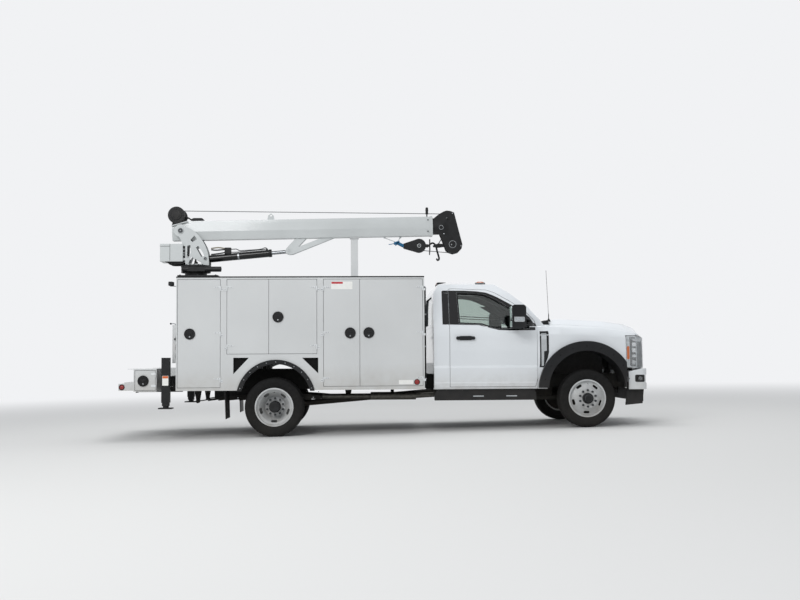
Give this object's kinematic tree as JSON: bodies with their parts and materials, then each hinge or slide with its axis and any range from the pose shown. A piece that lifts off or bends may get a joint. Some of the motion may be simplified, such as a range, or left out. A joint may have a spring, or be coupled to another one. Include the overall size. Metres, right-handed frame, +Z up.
{
  "type": "service crane truck",
  "caption": "Single-cab service truck with twin rear wheels, side compartments round an open deck, and a folding telescopic crane with a winch on its rear corner.",
  "frame": {"origin": "on the ground, at the middle of the truck's box", "axes": "+X forward along the truck, +Y to the driver's left, +Z up"},
  "size_m": [7.3434, 2.6, 3.1634],
  "materials": {
    "white_paint": "gloss",
    "boom_paint": "gloss",
    "black_paint": "satin",
    "black_plastic": "matte",
    "tyre_rubber": "matte",
    "rim_steel": "satin",
    "bare_steel": "satin",
    "cast_parts": "matte",
    "tinted_glass": "gloss",
    "lamp_glass": "gloss",
    "seat_cloth": "matte",
    "rod_chrome": "polished",
    "rope_steel": "satin"
  },
  "bodies": {
    "chassis": {"frame_rails": "black_paint", "axles": "cast_parts", "springs": "black_paint", "powertrain": "cast_parts", "fuel_tank": "black_plastic", "exhaust": "bare_steel", "front_bumper": "white_paint", "cab_shell": "white_paint", "front_wings": "white_paint", "black_trim": "black_plastic", "grille": "black_plastic", "headlamps": "lamp_glass", "cab_glass": "tinted_glass", "cab_interior": "seat_cloth", "service_body": "white_paint", "rear_bumper": "white_paint", "slew_base": "black_paint"},
    "steering_wheel": {"steering_wheel": "black_plastic"},
    "hood": {"hood": "white_paint"},
    "tailgate": {"tailgate": "white_paint"},
    "mast": {"mast": "boom_paint"},
    "boom": {"boom_outer": "boom_paint", "winch": "black_paint", "winch_rope": "rope_steel", "hook_block": "black_paint"},
    "boom_middle": {"boom_middle": "boom_paint"},
    "boom_inner": {"boom_inner": "boom_paint"},
    "lift_barrel": {"lift_barrel": "black_paint"},
    "lift_rod": {"lift_rod": "rod_chrome"},
    "knuckle_right": {"knuckle_right": "cast_parts"},
    "front_wheel_right": {"front_tyre_right": "tyre_rubber", "front_rim_right": "rim_steel"},
    "rear_wheels_right": {"rear_tyres_right": "tyre_rubber", "rear_rims_right": "rim_steel"},
    "cab_door_right": {"cab_door_right": "white_paint", "door_glass_right": "tinted_glass"},
    "box_door_right": {"box_door_right": "white_paint"},
    "outrigger_beam_right": {"outrigger_beam_right": "black_paint"},
    "jack_leg_right": {"jack_leg_right": "black_paint"},
    "body_door_a_right": {"body_door_a_right": "white_paint"},
    "body_door_b_right": {"body_door_b_right": "white_paint"},
    "body_door_c_right": {"body_door_c_right": "white_paint"},
    "body_door_d_right": {"body_door_d_right": "white_paint"},
    "body_door_e_right": {"body_door_e_right": "white_paint"},
    "knuckle_left": {"knuckle_left": "cast_parts"},
    "front_wheel_left": {"front_tyre_left": "tyre_rubber", "front_rim_left": "rim_steel"},
    "rear_wheels_left": {"rear_tyres_left": "tyre_rubber", "rear_rims_left": "rim_steel"},
    "cab_door_left": {"cab_door_left": "white_paint", "door_glass_left": "tinted_glass"},
    "box_door_left": {"box_door_left": "white_paint"},
    "outrigger_beam_left": {"outrigger_beam_left": "black_paint"},
    "jack_leg_left": {"jack_leg_left": "black_paint"},
    "body_door_a_left": {"body_door_a_left": "white_paint"},
    "body_door_b_left": {"body_door_b_left": "white_paint"},
    "body_door_c_left": {"body_door_c_left": "white_paint"},
    "body_door_d_left": {"body_door_d_left": "white_paint"},
    "body_door_e_left": {"body_door_e_left": "white_paint"}
  },
  "joints": [
    {"name": "steer_right", "type": "hinge", "parent": "chassis", "child": "knuckle_right", "pos_m": [2.69811, -0.86, 0.398], "axis": [0.0194, 0, 0.9998], "range_deg": [-32, 32]},
    {"name": "front_wheel_spin_right", "type": "hinge", "parent": "knuckle_right", "child": "front_wheel_right", "pos_m": [2.69811, -0.95, 0.398], "axis": [0, 1, 0], "continuous": true},
    {"name": "rear_wheels_spin_right", "type": "hinge", "parent": "chassis", "child": "rear_wheels_right", "pos_m": [-1.59489, -0.94, 0.398], "axis": [0, 1, 0], "continuous": true},
    {"name": "cab_door_swing_right", "type": "hinge", "parent": "chassis", "child": "cab_door_right", "pos_m": [2.02769, -1.02, 1.02994], "axis": [0.0194, 0, 0.9998], "range_deg": [0, 65]},
    {"name": "box_door_swing_right", "type": "hinge", "parent": "chassis", "child": "box_door_right", "pos_m": [-3.17623, -1.159, 0.80071], "axis": [0.0194, 0, 0.9998], "range_deg": [0, 90]},
    {"name": "outrigger_slide_right", "type": "slide", "parent": "chassis", "child": "outrigger_beam_right", "axis": [0, -1, 0], "range_m": [0, 0.6]},
    {"name": "jack_slide_right", "type": "slide", "parent": "outrigger_beam_right", "child": "jack_leg_right", "axis": [-0.0194, 0, -0.9998], "range_m": [0, 0.4]},
    {"name": "steer_left", "type": "hinge", "parent": "chassis", "child": "knuckle_left", "pos_m": [2.69811, 0.86, 0.398], "axis": [0.0194, 0, 0.9998], "range_deg": [-32, 32]},
    {"name": "front_wheel_spin_left", "type": "hinge", "parent": "knuckle_left", "child": "front_wheel_left", "pos_m": [2.69811, 0.95, 0.398], "axis": [0, 1, 0], "continuous": true},
    {"name": "rear_wheels_spin_left", "type": "hinge", "parent": "chassis", "child": "rear_wheels_left", "pos_m": [-1.59489, 0.94, 0.398], "axis": [0, 1, 0], "continuous": true},
    {"name": "cab_door_swing_left", "type": "hinge", "parent": "chassis", "child": "cab_door_left", "pos_m": [2.02769, 1.02, 1.02994], "axis": [-0.0194, 0, -0.9998], "range_deg": [0, 65]},
    {"name": "box_door_swing_left", "type": "hinge", "parent": "chassis", "child": "box_door_left", "pos_m": [-3.17623, 1.159, 0.80071], "axis": [-0.0194, 0, -0.9998], "range_deg": [0, 90]},
    {"name": "outrigger_slide_left", "type": "slide", "parent": "chassis", "child": "outrigger_beam_left", "axis": [0, 1, 0], "range_m": [0, 0.6]},
    {"name": "jack_slide_left", "type": "slide", "parent": "outrigger_beam_left", "child": "jack_leg_left", "axis": [-0.0194, 0, -0.9998], "range_m": [0, 0.4]},
    {"name": "body_door_a_swing_right", "type": "hinge", "parent": "chassis", "child": "body_door_a_right", "pos_m": [-2.29319, -1.209, 1.41372], "axis": [0.0194, 0, 0.9998], "range_deg": [0, 90]},
    {"name": "body_door_b_swing_right", "type": "hinge", "parent": "chassis", "child": "body_door_b_right", "pos_m": [-2.2112, -1.209, 1.41213], "axis": [-0.0194, 0, -0.9998], "range_deg": [0, 90]},
    {"name": "body_door_c_swing_right", "type": "hinge", "parent": "chassis", "child": "body_door_c_right", "pos_m": [-0.99543, -1.209, 1.38857], "axis": [0.0194, 0, 0.9998], "range_deg": [0, 90]},
    {"name": "body_door_d_swing_right", "type": "hinge", "parent": "chassis", "child": "body_door_d_right", "pos_m": [-0.91145, -1.209, 1.38695], "axis": [-0.0194, 0, -0.9998], "range_deg": [0, 90]},
    {"name": "body_door_e_swing_right", "type": "hinge", "parent": "chassis", "child": "body_door_e_right", "pos_m": [0.4413, -1.209, 1.36074], "axis": [0.0194, 0, 0.9998], "range_deg": [0, 90]},
    {"name": "body_door_a_swing_left", "type": "hinge", "parent": "chassis", "child": "body_door_a_left", "pos_m": [-2.29319, 1.209, 1.41372], "axis": [-0.0194, 0, -0.9998], "range_deg": [0, 90]},
    {"name": "body_door_b_swing_left", "type": "hinge", "parent": "chassis", "child": "body_door_b_left", "pos_m": [-2.2112, 1.209, 1.41213], "axis": [0.0194, 0, 0.9998], "range_deg": [0, 90]},
    {"name": "body_door_c_swing_left", "type": "hinge", "parent": "chassis", "child": "body_door_c_left", "pos_m": [-0.99543, 1.209, 1.38857], "axis": [-0.0194, 0, -0.9998], "range_deg": [0, 90]},
    {"name": "body_door_d_swing_left", "type": "hinge", "parent": "chassis", "child": "body_door_d_left", "pos_m": [-0.91145, 1.209, 1.38695], "axis": [0.0194, 0, 0.9998], "range_deg": [0, 90]},
    {"name": "body_door_e_swing_left", "type": "hinge", "parent": "chassis", "child": "body_door_e_left", "pos_m": [0.4413, 1.209, 1.36074], "axis": [-0.0194, 0, -0.9998], "range_deg": [0, 90]},
    {"name": "steering_wheel_turn", "type": "hinge", "parent": "chassis", "child": "steering_wheel", "pos_m": [1.63849, 0.39, 1.30753], "axis": [-0.898, 0, 0.4401], "range_deg": [-510, 510]},
    {"name": "hood_lift", "type": "hinge", "parent": "chassis", "child": "hood", "pos_m": [2.22668, 0, 1.51818], "axis": [0, -1, 0], "range_deg": [0, 55]},
    {"name": "tailgate_fold", "type": "hinge", "parent": "chassis", "child": "tailgate", "pos_m": [-2.97797, 0, 1.01891], "axis": [0, -1, 0], "range_deg": [0, 90]},
    {"name": "crane_slew", "type": "hinge", "parent": "chassis", "child": "mast", "pos_m": [-2.6453, -0.92, 2.34071], "axis": [0.0194, 0, 0.9998], "range_deg": [-180, 180]},
    {"name": "boom_luff", "type": "hinge", "parent": "mast", "child": "boom", "pos_m": [-2.83083, -0.92, 2.8314], "axis": [0, -1, 0], "range_deg": [0, 78]},
    {"name": "boom_extend_1", "type": "slide", "parent": "boom", "child": "boom_middle", "axis": [1, 0, -0.0002], "range_m": [0, 1.5]},
    {"name": "boom_extend_2", "type": "slide", "parent": "boom_middle", "child": "boom_inner", "axis": [1, 0, -0.0002], "range_m": [0, 1.5]},
    {"name": "lift_barrel_pivot", "type": "hinge", "parent": "mast", "child": "lift_barrel", "pos_m": [-2.50029, -0.92, 2.44292], "axis": [0, -1, 0], "range_deg": [-2, 80]},
    {"name": "lift_rod_slide", "type": "slide", "parent": "lift_barrel", "child": "lift_rod", "axis": [0.9973, 0, 0.0741], "range_m": [-0.01, 0.66]}
  ],
  "couplings": [
    {"joint": "steer_left", "follows": "steer_right", "ratio": 1},
    {"joint": "steering_wheel_turn", "follows": "steer_right", "ratio": 15},
    {"joint": "lift_barrel_pivot", "follows": "boom_luff", "ratio": 0.987},
    {"joint": "lift_rod_slide", "follows": "boom_luff", "m_per_rad": 0.4709}
  ]
}
